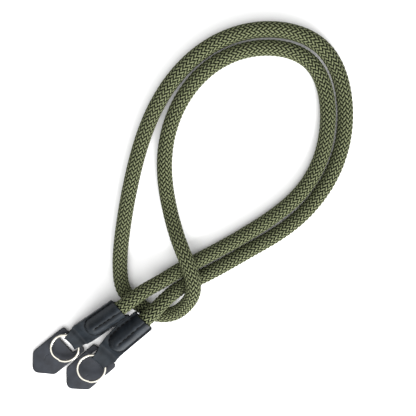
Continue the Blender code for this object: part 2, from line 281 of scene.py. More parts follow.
END_COLUMNS = ("name", "mouth_x", "mouth_y", "mouth_z", "heading", "guard_heading",
               "half_wide", "fold", "slot_end", "front", "side", "tab_top",
               "ring_reach", "ring_side", "ring_turn", "ring_tilt")
ENDS = (
    ("a", -58.4, -64.6, 14.6, -141.3, -140.2,
     7.4, 44.9, 49.2, 30.2, -0.3, 6.4, 5.2, 0.5, -22.0, 6.0),
    ("b", -42.3, -72.3, 15.8, -134.2, -137.4,
     7.8, 47.6, 48.7, 28.5, 1.0, 6.8, 5.9, 0.0, -10.0, 12.0),
)
MIDLINE_STEP = 0.1
MIDLINE_COUNT = 1000


class End:
    """One leather end, with u along it from its mouth, v to its left and z up."""

    def __init__(self, row):
        for column, value in zip(END_COLUMNS, row):
            setattr(self, column, value)
        self.slope = (self.mouth_z - SLEEVE_FULL_HEIGHT) / SLEEVE_FULL
        self.shoulder = self.fold - SHOULDER_TO_FOLD
        step = MIDLINE_STEP
        self.line = [(self.mouth_x, self.mouth_y)]
        for i in range(MIDLINE_COUNT):
            angle = math.radians(self.heading_at(i * step))
            x, y = self.line[-1]
            self.line.append((x + step * math.cos(angle), y + step * math.sin(angle)))

    def heading_at(self, u):
        turn = ease((u - TURN_FROM) / TURN_LENGTH)
        return self.heading + (self.guard_heading - self.heading) * turn

    def place(self, u, v, z):
        """The point of the plan at u, v and z of this end."""
        k = max(u, 0.0) / MIDLINE_STEP
        i = min(int(k), MIDLINE_COUNT - 1)
        f = k - i
        x = self.line[i][0] * (1 - f) + self.line[i + 1][0] * f
        y = self.line[i][1] * (1 - f) + self.line[i + 1][1] * f
        angle = math.radians(self.heading_at(u))
        if u < 0.0:
            x += u * math.cos(angle)
            y += u * math.sin(angle)
        v += self.side * ease((u - ASIDE_FROM) / ASIDE_LENGTH)
        return (x - v * math.sin(angle), y + v * math.cos(angle), z)

    def middle(self, u):
        """Height of the seam between the two layers."""
        if u <= SLEEVE_FULL:
            return self.mouth_z - self.slope * u
        d = u - SLEEVE_FULL
        span = SLEEVE_CLOSED - SLEEVE_FULL
        fall = SLEEVE_FULL_HEIGHT - SLEEVE_CLOSED_HEIGHT - 0.5 * self.slope * span
        return SLEEVE_FULL_HEIGHT - 0.5 * self.slope * d - fall * ease(d / span)

    def lean(self, u):
        return math.atan(self.slope) * (1.0 - ease((u - SLEEVE_FULL) / SLEEVE_LEAN_FADE))

    def half_width(self, u):
        narrow = ease((u - self.shoulder) / SHOULDER_LENGTH)
        pinch = ease((u - self.fold + PINCH_TO_FOLD) / PINCH_LENGTH)
        wide = self.half_wide + (TAB_HALF_WIDTH - self.half_wide) * narrow
        return wide + (FOLD_HALF_WIDTH - TAB_HALF_WIDTH) * pinch

    def guard_start(self):
        return self.slot_end - GUARD_SLOT - GUARD_BRIDGE

    def guard_tip(self):
        return self.slot_end + self.front

    def guard_pitch(self):
        return math.asin(GUARD_LIFT / (self.guard_tip() - self.guard_start()))

    def guard_under(self, u):
        return GUARD_LIFT * (self.guard_tip() - u) / (self.guard_tip() - self.guard_start())


ends = [End(row) for row in ENDS]


# ---- rope: core and braid ------------------------------------------------------------------
def smooth_line(points, step):
    """A natural cubic spline through the points, read every step along it."""
    gaps = np.linalg.norm(np.diff(points, axis=0), axis=1)
    t = np.concatenate(([0.0], np.cumsum(gaps)))
    n = len(points)
    matrix = np.eye(n)
    right = np.zeros((n, 3))
    for i in range(1, n - 1):
        matrix[i, i - 1:i + 2] = (gaps[i - 1], 2.0 * (gaps[i - 1] + gaps[i]), gaps[i])
        after = (points[i + 1] - points[i]) / gaps[i]
        before = (points[i] - points[i - 1]) / gaps[i - 1]
        right[i] = 6.0 * (after - before)
    bend = np.linalg.solve(matrix, right)
    line = []
    for x in np.append(np.arange(0.0, t[-1], step), t[-1]):
        i = min(max(int(np.searchsorted(t, x)) - 1, 0), n - 2)
        h = gaps[i]
        a = (t[i + 1] - x) / h
        b = (x - t[i]) / h
        point = a * points[i] + b * points[i + 1]
        point = point + ((a ** 3 - a) * bend[i] + (b ** 3 - b) * bend[i + 1]) * h * h / 6.0
        point[2] = max(point[2], ROPE_RADIUS)
        line.append(point)
    return np.array(line)


def rope_line():
    """The rope's middle line, from its end in sleeve a to its end in sleeve b."""
    first, last = ends
    points = [first.place(u, 0.0, first.middle(u)) for u in IN_SLEEVE]
    points.extend(ROUTE)
    points.extend(last.place(u, 0.0, last.middle(u)) for u in reversed(IN_SLEEVE))
    return smooth_line(np.array(points), ROUTE_STEP)


line = rope_line()
along = np.concatenate(([0.0], np.cumsum(np.linalg.norm(np.diff(line, axis=0), axis=1))))
ROPE_LENGTH = float(along[-1])


def at(s, values):
    """Rows of values along the rope's line, read at the lengths s."""
    return np.stack([np.interp(s, along, values[:, k]) for k in range(3)], axis=1)


def carried_frame():
    """A side direction carried along the rope without twisting, and the one square to it."""
    tangent = np.gradient(line, axis=0)
    tangent /= np.linalg.norm(tangent, axis=1)[:, None]
    side = np.empty_like(line)
    start = np.cross(tangent[0], (0.0, 0.0, 1.0))
    side[0] = start / np.linalg.norm(start)
    for i in range(1, len(line)):
        v = side[i - 1] - tangent[i] * (side[i - 1] @ tangent[i])
        side[i] = v / np.linalg.norm(v)
    return side, np.cross(tangent, side)


side_way, up_way = carried_frame()

# Braid: 32 carriers, 16 each way, each going over two and under two of the others.
CARRIERS = 32
FLOAT_PITCH = 3.0
STRAND_WIDTH = 1.3
STRAND_THICKNESS = 0.94
WEAVE_DEPTH = 0.46
BRAID_RADIUS = ROPE_RADIUS - WEAVE_DEPTH - STRAND_THICKNESS / 2
BRAID_TURN = 4.0 * math.pi / (CARRIERS * FLOAT_PITCH)
BRAID_IN_SLEEVE = 4.0
SQUEEZE = 0.45
SQUEEZE_PAST_MOUTH = 1.5
SQUEEZE_LENGTH = 4.0
RINGS_PER_WEAVE = 8
# The braid's UV map: once round the strand, and this much for a millimetre along it and
# from one strand to the next.
UV_PER_MM = 0.1
UV_PER_STRAND = 0.37
CORE_RADIUS = 3.55
CORE_SIDES = 20
CORE_RINGS = 620
CORE_TIP = 9.0
CORE_TIP_RINGS = 12
CORE_TIP_CLOSED = 0.997
# A strand's section, as shares of half its width and of half its thickness.
SECTION = (
    (1.0, 0.0), (0.68, 0.72), (0.0, 1.0), (-0.68, 0.72),
    (-1.0, 0.0), (-0.68, -0.72), (0.0, -1.0), (0.68, -0.72),
)


def braid_squeeze(s):
    """How much smaller the braid is where the mouths of the sleeves hold it."""
    near = np.minimum(s, ROPE_LENGTH - s)
    x = np.clip((IN_SLEEVE[0] + SQUEEZE_PAST_MOUTH - near) / SQUEEZE_LENGTH, 0.0, 1.0)
    return SQUEEZE * x * x * (3.0 - 2.0 * x)


def strand_rings(start_angle, way, s):
    """Rings of points of one braid strand, with how high each ring rides.

    The wave's crests are flattened, so that the strand lies level over two others."""
    angle = start_angle + way * BRAID_TURN * (s - s[0])
    wave = np.cos(CARRIERS / 4 * (angle - math.pi / CARRIERS))
    over = way * wave * (1.5 - 0.5 * wave * wave)
    radius = BRAID_RADIUS + WEAVE_DEPTH * over - braid_squeeze(s)
    a = at(s, side_way)
    b = at(s, up_way)
    out = a * np.cos(angle)[:, None] + b * np.sin(angle)[:, None]
    out /= np.linalg.norm(out, axis=1)[:, None]
    path = at(s, line) + out * radius[:, None]
    go = np.gradient(path, axis=0)
    go /= np.linalg.norm(go, axis=1)[:, None]
    wide = np.cross(go, out)
    wide /= np.linalg.norm(wide, axis=1)[:, None]
    lift = np.cross(wide, go)
    rings = [path + wide * (across * STRAND_WIDTH / 2) + lift * (thick * STRAND_THICKNESS / 2)
             for across, thick in SECTION]
    return np.stack(rings, axis=1), over


def braid_piece(name, way, which):
    """Some of the strands that wind one way, as one mesh with a UV map along each strand."""
    s0 = IN_SLEEVE[0] - BRAID_IN_SLEEVE
    weave = 2.0 * FLOAT_PITCH
    count = int((ROPE_LENGTH - 2.0 * s0) / weave * RINGS_PER_WEAVE)
    s = np.linspace(s0, ROPE_LENGTH - s0, count + 1)
    sides = len(SECTION)
    k, j = np.meshgrid(np.arange(count), np.arange(sides), indexing="ij")
    n = (j + 1) % sides
    corners = [(k + 1, j, j), (k + 1, n, j + 1), (k, n, j + 1), (k, j, j)]
    quad = np.stack([row * sides + spot for row, spot, _ in corners], axis=-1).reshape(-1, 4)
    around = np.stack([turn / sides for _, _, turn in corners], axis=-1).reshape(-1)
    run = np.stack([row for row, _, _ in corners], axis=-1).reshape(-1)
    length = (s - s0) * math.hypot(1.0, BRAID_RADIUS * BRAID_TURN)
    cap = np.arange(sides)
    verts, faces, maps, heights = [], [], [], []
    for order, strand in enumerate(which):
        base = order * (count + 1) * sides
        rings, over = strand_rings(2.0 * math.pi * strand / (CARRIERS / 2), way, s)
        verts.append(rings.reshape(-1, 3))
        faces.extend((quad + base).tolist())
        faces.append((cap + base).tolist())
        faces.append((cap[::-1] + base + count * sides).tolist())
        heights.append(np.repeat(over, sides))
        maps.append(np.stack([around, length[run] * UV_PER_MM + strand * UV_PER_STRAND], axis=1))
        maps.append(np.zeros((2 * sides, 2)))
    verts = np.concatenate(verts)
    verts[:, 2] = np.maximum(verts[:, 2], FLOOR_GAP)
    obj = smooth_mesh(name, verts, faces)
    mesh = obj.data
    lane = mesh.uv_layers.new(name="strand")
    lane.data.foreach_set("uv", np.concatenate(maps).astype(np.float32).ravel())
    # How high each ring rides over the others; the yarn material paints shade where the strand
    # dips under.
    height = mesh.attributes.new("ride_height", "FLOAT", "POINT")
    height.data.foreach_set("value", np.concatenate(heights).astype(np.float32))
    mesh.update()
    return obj


def core_piece():
    """The rope's filling: a round tube down its middle, rounded at both ends."""
    inner = np.linspace(CORE_TIP, ROPE_LENGTH - CORE_TIP, CORE_RINGS)
    tip = np.linspace(0.0, CORE_TIP, CORE_TIP_RINGS)[:-1]
    s = np.concatenate((tip, inner, ROPE_LENGTH - tip[::-1]))
    turn = np.arange(CORE_SIDES) * 2.0 * math.pi / CORE_SIDES
    a = at(s, side_way)[:, None, :] * np.cos(turn)[None, :, None]
    b = at(s, up_way)[:, None, :] * np.sin(turn)[None, :, None]
    tail = np.clip(1.0 - np.minimum(s, ROPE_LENGTH - s) / CORE_TIP, 0.0, CORE_TIP_CLOSED)
    radius = ((CORE_RADIUS - braid_squeeze(s)) * np.sqrt(1.0 - tail ** 2))[:, None, None]
    verts = (at(s, line)[:, None, :] + (a + b) * radius).reshape(-1, 3)
    k, j = np.meshgrid(np.arange(len(s) - 1), np.arange(CORE_SIDES), indexing="ij")
    n = (j + 1) % CORE_SIDES
    quads = np.stack([k * CORE_SIDES + j, k * CORE_SIDES + n, (k + 1) * CORE_SIDES + n,
                      (k + 1) * CORE_SIDES + j], axis=-1).reshape(-1, 4).tolist()
    quads.append(list(range(CORE_SIDES))[::-1])
    quads.append([(len(s) - 1) * CORE_SIDES + i for i in range(CORE_SIDES)])
    path = [put(point) for point in at(s, line)]
    return smooth_mesh("rope_core", verts, quads), path


core, core_path = core_piece()
braid = [braid_piece("braid_%s_%d" % (side, half + 1), way,
                     range(half * CARRIERS // 4, (half + 1) * CARRIERS // 4))
         for side, way in (("right", 1), ("left", -1)) for half in (0, 1)]
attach(core, "root")
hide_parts("neck_rope")
for piece in braid:
    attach(piece, "root")
first = ends[0]
put(first.place(2.0, 0.0, first.middle(2.0)))


# ---- leather sleeves -----------------------------------------------------------------------
BULGE_HALF = 6.0
BULGE_POWER = 2.2
BULGE_ROUND = 1.12
# The creases that the stitches pull: one round the bulge, one down its middle, each with painted
# shade.
SEAM_OUT = 6.35
SEAM_DENT = 0.3
SEAM_DENT_HALF = 0.6
SEAM_SHADE = 0.62
SEAM_SHADE_HALF = 0.8
VALLEY_DEPTH = 1.0
VALLEY_HALF = 1.15
VALLEY_FADE = 3.0
VALLEY_SHADE = 0.85
VALLEY_SHADE_HALF = 0.9
VALLEY_SHADE_BACK = 0.5
VALLEY_SHADE_FADE = 2.0
# The mouth: how far its cut leans back, and how its corners round off.
MOUTH_CUT_LENGTH = 6.0
CORNER_BACK = 0.8
CORNER_FROM = 6.9
CORNER_WIDTH = 0.7
CORNER_LENGTH = 3.0
# Out to here the strip keeps its widths, and past it they are stretched to the end's own.
STRETCH_FROM = 5.0
ACROSS = (0.0, 0.45, 0.95, 1.6, 2.4, 3.2, 3.9, 4.5, 5.0, 5.4, 5.75, 6.05, 6.35, 6.65,
          6.95, 7.25, 7.45, 7.6)
BULGE_END = {"a": 28.2, "b": 31.6}
VALLEY_END = {"a": 20.5, "b": 23.6}
VALLEY_SIDE = {"a": 0.7, "b": 0.1}
# The seam edges that face the other sleeve: how far each is pulled out sideways, as places
# along the sleeve and widths there, and how far its mouth corner is drawn along the rope.
SEAM_SIDE = {"a": 1.0, "b": -1.0}
SEAM_PULL = {
    "a": ((0.0, 36.0), (0.0, 0.0)),
    "b": ((0.0, 4.5, 7.0, 16.0, 28.0, 36.0), (0.6, 0.7, 1.0, 1.9, 0.8, 0.0)),
}
CORNER_DRAWN = {"a": 2.6, "b": 1.4}
DRAWN_FROM = 5.6
DRAWN_WIDTH = 0.9
DRAWN_LENGTH = 9.0
SLEEVE_EDGE = 0.22
# The strip's stations past the rope. On the upper tab: places along the sleeve, kept clear
# of the fold, then two counted back from the fold, with where it is level and starts to bow.
TAB_PLACES = (37.2, 38.4, 39.6, 40.8)
TAB_CLEAR = 4.6
TAB_BACK_FROM_FOLD = (4.4, 3.2)
TAB_LEVEL = 5.9
BOW_FROM = 5.0
BOW_LENGTH = 3.0
# Round the fold: angles of its upper and its lower bend.
FOLD_TOP_ANGLES = (90.0, 64.0, 36.0, 10.0)
FOLD_BOTTOM_ANGLES = (-8.0, -36.0, -62.0, -90.0)
# On the lower tab: places where it lies flat, as far as the guard, and where it rises.
LOW_TAB_PLACES = (43.2, 42.0)
LOW_TAB_CLEAR = 3.4
LOW_TAB_PAST_GUARD = 0.5
LOW_RISE_PLACES = (39.2, 38.2, 37.1)


def past_centre(end, u, out):
    """How far a place lies from the middle line of the rope's bulge, round its blunt end."""
    centre = BULGE_END[end.name] - BULGE_HALF * BULGE_ROUND
    if u <= centre:
        return abs(out)
    return math.hypot((u - centre) / BULGE_ROUND, out)


def layer_rise(end, u, out):
    """How far a layer's middle stands off the seam's middle."""
    away = past_centre(end, u, out)
    q = min(away / BULGE_HALF, 1.0)
    rise = SEAM_RISE + (ARCH_RADIUS - SEAM_RISE) * (1.0 - q ** BULGE_POWER)
    valley = 1.0 - ease((u - VALLEY_END[end.name] + VALLEY_FADE / 2) / VALLEY_FADE)
    side = (out - VALLEY_SIDE[end.name]) / VALLEY_HALF
    rise -= VALLEY_DEPTH * valley * math.exp(-side * side)
    dent = (away - SEAM_OUT) / SEAM_DENT_HALF
    return rise - SEAM_DENT * math.exp(-dent * dent)


def painted_crease_shade(end, u, out):
    """How much painted shade a place takes in the creases that the stitches pull, from 0 to 1.
    """
    seam = (past_centre(end, u, out) - SEAM_OUT) / SEAM_SHADE_HALF
    valley = (out - VALLEY_SIDE[end.name]) / VALLEY_SHADE_HALF
    past = (u - VALLEY_END[end.name] + VALLEY_SHADE_BACK) / VALLEY_SHADE_FADE
    middle = VALLEY_SHADE * (1.0 - ease(past)) * math.exp(-valley * valley)
    return SEAM_SHADE * math.exp(-seam * seam) + middle


def body_point(end, u, out, side):
    """A point of a layer's middle surface, as u, v and z of the end."""
    widest = ACROSS[-1]
    lean = end.lean(u)
    cut = MOUTH_CUT_TOP if side > 0 else MOUTH_CUT_LOW
    cut *= 1.0 - ease(u / MOUTH_CUT_LENGTH)
    rise = side * layer_rise(end, u, out)
    facing = out * SEAM_SIDE[end.name] > 0.0
    corner = CORNER_BACK * ease((abs(out) - CORNER_FROM) / CORNER_WIDTH)
    corner *= 1.0 - ease(u / CORNER_LENGTH)
    if facing:
        drawn = ease((abs(out) - DRAWN_FROM) / DRAWN_WIDTH) * (1.0 - ease(u / DRAWN_LENGTH))
        corner -= CORNER_DRAWN[end.name] * drawn
    reach = u - rise * cut + corner
    z = max(end.middle(reach) + rise * math.cos(lean), TAB_BOTTOM)
    wide = end.half_width(u) - widest
    if facing:
        wide += float(np.interp(u, *SEAM_PULL[end.name]))
    stretch = ease((abs(out) - STRETCH_FROM) / (widest - STRETCH_FROM))
    v = out + math.copysign(wide * stretch, out)
    return (reach + rise * math.sin(lean), v, z)


def sleeve_stations(end):
    """The strip's middle surface, a row of points for each station from mouth to mouth,
    each with how much painted shade it takes in a crease."""
    signed = [-out for out in reversed(ACROSS[1:])] + list(ACROSS)
    widest = ACROSS[-1]
    body = [0.0, 0.5] + [float(u) for u in range(1, int(SLEEVE_CLOSED))] + [SLEEVE_CLOSED]
    tab = [u for u in TAB_PLACES if u < end.fold - TAB_CLEAR]
    closed = end.middle(SLEEVE_CLOSED)
    low_to = end.guard_start() - LOW_TAB_PAST_GUARD

    def body_row(u, side):
        return [(*body_point(end, u, out, side), painted_crease_shade(end, u, out)) for out in signed]

    def flat_row(u, z, bow):
        across = [out / widest for out in signed]
        return [(u + bow * x ** 2, x * end.half_width(u), z, 0.0) for x in across]

    rows = [body_row(u, 1) for u in body]
    for u in tab + [end.fold - back for back in TAB_BACK_FROM_FOLD]:
        blend = ease((u - SLEEVE_CLOSED) / (end.fold - TAB_LEVEL - SLEEVE_CLOSED))
        z = closed + SEAM_RISE + (end.tab_top - closed - SEAM_RISE) * blend
        rows.append(flat_row(u, z, FOLD_BOW * ease((u - end.fold + BOW_FROM) / BOW_LENGTH)))
    wall = end.fold - LEATHER / 2
    for angle in FOLD_TOP_ANGLES:
        a = math.radians(angle)
        u = wall - FOLD_TOP_RADIUS + FOLD_TOP_RADIUS * math.cos(a)
        z = end.tab_top - FOLD_TOP_RADIUS + FOLD_TOP_RADIUS * math.sin(a)
        rows.append(flat_row(u, z, FOLD_BOW))
    rows.append(flat_row(wall, 0.5 * (end.tab_top + TAB_BOTTOM), FOLD_BOW))
    for angle in FOLD_BOTTOM_ANGLES:
        a = math.radians(angle)
        u = wall - FOLD_BOTTOM_RADIUS + FOLD_BOTTOM_RADIUS * math.cos(a)
        z = TAB_BOTTOM + FOLD_BOTTOM_RADIUS + FOLD_BOTTOM_RADIUS * math.sin(a)
        rows.append(flat_row(u, z, FOLD_BOW * (1.0 + math.sin(a) * 0.5)))
    for u in [u for u in LOW_TAB_PLACES if u < end.fold - LOW_TAB_CLEAR] + [low_to]:
        rows.append(flat_row(u, TAB_BOTTOM, 0.0))
    for u in LOW_RISE_PLACES:
        blend = ease((low_to - u) / (low_to - SLEEVE_CLOSED))
        rows.append(flat_row(u, TAB_BOTTOM + (closed - SEAM_RISE - TAB_BOTTOM) * blend, 0.0))
    rows.extend(body_row(u, -1) for u in reversed(body))
    return rows


def sleeve_piece(end):
    """A flat strip of leather is laid over the stations, then given wall and cut edges."""
    rows = sleeve_stations(end)
    count = len(rows[0])
    deselect()
    bpy.ops.mesh.primitive_grid_add(x_subdivisions=count - 1, y_subdivisions=len(rows) - 1)
    obj = bpy.context.object
    obj.name = "sleeve_" + end.name
    # Each point's share of the painted shade in the stitch creases, read by the sleeve leather.
    crease = obj.data.attributes.new("crease", "FLOAT", "POINT")
    for i, row in enumerate(rows):
        for j, (u, v, z, depth) in enumerate(row):
            obj.data.vertices[i * count + j].co = put(end.place(u, v, z))
            crease.data[i * count + j].value = depth
    smooth = obj.modifiers.new("smooth", "SUBSURF")
    smooth.levels = 1
    smooth.render_levels = 1
    smooth.boundary_smooth = "PRESERVE_CORNERS"
    wall = obj.modifiers.new("wall", "SOLIDIFY")
    wall.thickness = LEATHER * MM
    wall.offset = 0.0
    wall.material_offset_rim = 1
    round_edges(obj, SLEEVE_EDGE, 2, 60.0)
    obj.data.materials.append(None)
    obj.data.materials.append(None)
    finish_modifiers(obj)
    face_outwards(obj)
    bpy.ops.object.shade_smooth()
    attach(obj, "root")
    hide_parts("leather_sleeve_" + end.name)
    return obj


def pick_faces(obj, test):
    """Selects the faces whose normal passes the test, and goes into edit mode."""
    choose(obj)
    bpy.ops.object.mode_set(mode="EDIT")
    bpy.ops.mesh.select_mode(type="FACE")
    bpy.ops.mesh.select_all(action="DESELECT")
    bpy.ops.object.mode_set(mode="OBJECT")
    for face in obj.data.polygons:
        face.select = bool(test(face.normal))
    bpy.ops.object.mode_set(mode="EDIT")


STITCH_PITCH = 4.1
STITCH_LENGTH = 2.9
STITCH_REACH = 0.4 * STITCH_LENGTH
STITCH_START = 1.9
SEAM_STEP = 0.25
THREAD = 0.95
THREAD_LIFT = 0.12 * THREAD
ROD_LENGTH = 0.62 * STITCH_LENGTH
# How each end of a stitch is drawn on: outwards, down, and how the new end narrows.
STITCH_TURNS = ((0.34, -0.08, 0.9, 0.9), (0.25, -0.3, 0.7, 0.6), (0.04, -0.3, 1.0, 1.0))


def stitch_start():
    """One stitch of waxed thread: a rod whose two ends turn down into the leather."""
    deselect()
    bpy.ops.mesh.primitive_cylinder_add(vertices=10, radius=THREAD / 2 * MM,
                                        depth=ROD_LENGTH * MM,
                                        rotation=(0.0, math.pi / 2, 0.0))
    rod = bpy.context.object
    settle(rod)
    for way in (1.0, -1.0):
        pick_faces(rod, lambda normal: normal.x * way > 0.9)
        for out, down, across, thick in STITCH_TURNS:
            bpy.ops.mesh.extrude_region_move(TRANSFORM_OT_translate={
                "value": (way * out * MM, 0.0, down * MM)})
            bpy.ops.transform.resize(value=(1.0, across, thick))
        bpy.ops.object.mode_set(mode="OBJECT")
    bpy.ops.object.shade_smooth_by_angle(angle=math.radians(60.0))
    return rod


def seam_lines(end):
    """The stitch lines of one face: round the bulge, and down its middle."""
    centre = BULGE_END[end.name] - BULGE_HALF * BULGE_ROUND
    loop = [(u, SEAM_OUT) for u in np.arange(STITCH_START, centre, SEAM_STEP)]
    for angle in np.arange(90.0, -90.1, -3.0):
        a = math.radians(angle)
        loop.append((centre + SEAM_OUT * BULGE_ROUND * math.cos(a), SEAM_OUT * math.sin(a)))
    loop.extend((u, -SEAM_OUT) for u in np.arange(centre, STITCH_START, -SEAM_STEP))
    middle = [(u, VALLEY_SIDE[end.name])
              for u in np.arange(STITCH_START, VALLEY_END[end.name], SEAM_STEP)]
    return loop, middle


def thread_piece(end, rod):
    """The stitches of both faces of one sleeve, each a copy of the first one."""
    copies = []
    for side in (1, -1):
        for path in seam_lines(end):
            path = np.array(path)
            run = np.concatenate(([0.0], np.cumsum(np.hypot(*np.diff(path, axis=0).T))))
            count = max(int(round(run[-1] / STITCH_PITCH)), 1)
            for i in range(count):
                middle = (i + 0.5) * run[-1] / count
                spots = []
                for place in (middle - STITCH_REACH, middle, middle + STITCH_REACH):
                    u = float(np.interp(place, run, path[:, 0]))
                    out = float(np.interp(place, run, path[:, 1]))
                    spots.append(surface_spot(end, u, out, side))
                way = (spots[2][0] - spots[0][0]).normalized()
                normal = spots[1][1]
                across = normal.cross(way).normalized()
                normal = way.cross(across)
                basis = Matrix((way, across, normal)).transposed().to_4x4()
                basis.translation = spots[1][0] + normal * (THREAD_LIFT * MM)
                copy = rod.copy()
                copy.data = rod.data.copy()
                copy.matrix_world = basis
                bpy.context.scene.collection.objects.link(copy)
                copies.append(copy)
    deselect()
    for copy in copies:
        copy.select_set(True)
    obj = copies[0]
    bpy.context.view_layer.objects.active = obj
    bpy.ops.object.join()
    settle(obj)
    obj.name = "sleeve_thread_" + end.name
    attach(obj, "root")
    return obj


def surface_spot(end, u, out, side):
    """The point and normal of a layer's outer face, in the frame."""
    near = 0.3

    def spot(du, dout):
        return Vector(put(end.place(*body_point(end, u + du, out + dout, side))))

    lengthways = spot(near, 0.0) - spot(-near, 0.0)
    sideways = spot(0.0, near) - spot(0.0, -near)
    normal = lengthways.cross(sideways).normalized() * side
    return spot(0.0, 0.0) + normal * (LEATHER / 2 * MM), normal


sleeves = [sleeve_piece(end) for end in ends]
stitch = stitch_start()
threads = [thread_piece(end, stitch) for end in ends]
bpy.data.objects.remove(stitch, do_unlink=True)


# ---- lug guards ----------------------------------------------------------------------------
# A crease is an arc of a circle: its centre from the plate's straight end and middle line,
# its radius, and the angles where it starts and stops.
CREASES = {
    "a": (23.4, 0.5, 3.7, 238.0, 330.0),
    "b": (20.4, 5.6, 3.3, 246.0, 292.0),
}
CREASE_THICKNESS = 0.42
CREASE_HEIGHT = GUARD_THICKNESS + 0.2
GUARD_SLOT_RADIUS = 0.8
GUARD_EDGE = 0.42
# The place along the sleeve where the guard's middle line crosses the tab's.
GUARD_CROSSING = 42.0


def pick_upright_edges(obj, test):
    """Selects the upright edges whose middle passes the test, and goes into edit mode."""
    choose(obj)
    bpy.ops.object.mode_set(mode="EDIT")
    bpy.ops.mesh.select_mode(type="EDGE")
    bpy.ops.mesh.select_all(action="DESELECT")
    bpy.ops.object.mode_set(mode="OBJECT")
    for edge in obj.data.edges:
        a, b = (obj.data.vertices[i].co for i in edge.vertices)
        edge.select = bool(abs((a - b).normalized().z) > 0.9 and test((a + b) / 2))
    bpy.ops.object.mode_set(mode="EDIT")


def round_upright(obj, width, test):
    pick_upright_edges(obj, test)
    bpy.ops.mesh.bevel(offset=width, segments=8, affect="EDGES")
    bpy.ops.object.mode_set(mode="OBJECT")


def cut_away(obj, cutter):
    """Takes the cutter's shape out of the object."""
    cut = obj.modifiers.new("cut", "BOOLEAN")
    cut.operation = "DIFFERENCE"
    cut.object = cutter
    cut.solver = "EXACT"
    finish_modifiers(obj)
    bpy.data.objects.remove(cutter, do_unlink=True)


def slot_cutter():
    deselect()
    bpy.ops.mesh.primitive_cube_add(size=1.0)
    cutter = bpy.context.object
    cutter.scale = (GUARD_SLOT * MM, 2 * GUARD_SLOT_HALF_WIDTH * MM, 6.0 * MM)
    cutter.location = ((GUARD_BRIDGE + GUARD_SLOT / 2) * MM, 0.0, 0.0)
    settle(cutter)
    round_upright(cutter, GUARD_SLOT_RADIUS * MM, lambda middle: True)
    return cutter


def crease_cutter(along, across, radius, start, stop):
    """Part of a ring that leaves a shallow curved groove in the plate's upper face."""
    deselect()
    bpy.ops.mesh.primitive_torus_add(major_segments=72, minor_segments=12,
                                     major_radius=radius * MM,
                                     minor_radius=CREASE_THICKNESS * MM)
    cutter = bpy.context.object
    bpy.ops.object.mode_set(mode="EDIT")
    for angle, way in ((start, -1.0), (stop, 1.0)):
        a = math.radians(angle)
        bpy.ops.mesh.select_all(action="SELECT")
        bpy.ops.mesh.bisect(plane_co=(0.0, 0.0, 0.0),
                            plane_no=(-way * math.sin(a), way * math.cos(a), 0.0),
                            use_fill=True, clear_outer=True)
    bpy.ops.object.mode_set(mode="OBJECT")
    cutter.location = (along * MM, across * MM, CREASE_HEIGHT * MM)
    settle(cutter)
    return cutter


def guard_piece(end):
    """A leather plate: a block cut to a point, its corners rounded, its slot cut out.

    Its flat faces and the crease are leather, and its upright faces painted edge."""
    length = GUARD_BRIDGE + GUARD_SLOT + end.front
    half = GUARD_HALF_WIDTH
    tip = length + GUARD_TIP_RADIUS * (math.sqrt(2.0) - 1.0)
    deselect()
    bpy.ops.mesh.primitive_cube_add(size=1.0)
    obj = bpy.context.object
    obj.name = "guard_" + end.name
    obj.scale = (tip * MM, 2 * half * MM, GUARD_THICKNESS * MM)
    obj.location = (tip / 2 * MM, 0.0, GUARD_THICKNESS / 2 * MM)
    settle(obj)
    bpy.ops.object.mode_set(mode="EDIT")
    for way in (1.0, -1.0):
        bpy.ops.mesh.select_all(action="SELECT")
        bpy.ops.mesh.bisect(plane_co=(tip * MM, 0.0, 0.0), plane_no=(1.0, way, 0.0),
                            use_fill=True, clear_outer=True)
    bpy.ops.object.mode_set(mode="OBJECT")
    reach = math.tan(math.radians(22.5))
    round_upright(obj, GUARD_EAR_RADIUS * MM, lambda middle: middle.x < 1.0 * MM)
    round_upright(obj, GUARD_SIDE_RADIUS * reach * MM,
                  lambda middle: abs(middle.y) > (half - 1.0) * MM
                  and middle.x > (tip - half - 2.0) * MM)
    round_upright(obj, GUARD_TIP_RADIUS * MM, lambda middle: middle.x > (tip - 1.0) * MM)
    cut_away(obj, slot_cutter())
    round_edges(obj, GUARD_EDGE, 4, 50.0)
    finish_modifiers(obj)
    cut_away(obj, crease_cutter(*CREASES[end.name]))
    obj.data.materials.append(None)
    obj.data.materials.append(None)
    for face in obj.data.polygons:
        face.material_index = 1 if abs(face.normal.z) < 0.93 else 0
    groove = GUARD_THICKNESS * MM * 0.75
    for face in obj.data.polygons:
        inside = abs(face.center.y) < 6.0 * MM and face.center.x > 15.0 * MM
        if inside and face.center.z > groove:
            face.material_index = 0
    heading = math.radians(end.guard_heading)
    back = GUARD_CROSSING - end.guard_start()
    x, y, _ = end.place(GUARD_CROSSING, 0.0, 0.0)
    obj.location = put((x - back * math.cos(heading), y - back * math.sin(heading),
                        GUARD_LIFT))
    obj.rotation_euler = (0.0, end.guard_pitch(), heading)
    settle(obj)
    bpy.ops.object.shade_smooth_by_angle(angle=math.radians(35.0))
    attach(obj, "root")
    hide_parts("lug_guard_" + end.name)
    return obj


guards = [guard_piece(end) for end in ends]


# ---- split rings ---------------------------------------------------------------------------
RING_CORNER = 0.3
RING_STEP = 3.0
RING_MIDDLE = RING_OUTER_RADIUS - RING_WIRE_WIDTH / 2
# Where a ring rests on its guard: so far back from the fold, and so far above the leather.
RING_REST_BACK = 5.0
RING_REST_GAP = 0.3


def coil_sections(mesh):
    """Numbers the wire's sections, walking along it from its first end."""
    beside = {}
    for edge in mesh.edges:
        a, b = edge.vertices
        beside.setdefault(a, []).append(b)
        beside.setdefault(b, []).append(a)
    caps = [face for face in mesh.polygons if len(face.vertices) > 4]
    start = min(caps, key=lambda face: abs(face.center.y)
                + abs(face.center.x - RING_MIDDLE * MM))
    number = {i: 0 for i in start.vertices}
    front = list(start.vertices)
    while front:
        step = []
        for i in front:
            for j in beside[i]:
                if j not in number:
                    number[j] = number[i] + 1
                    step.append(j)
        front = step
    return number


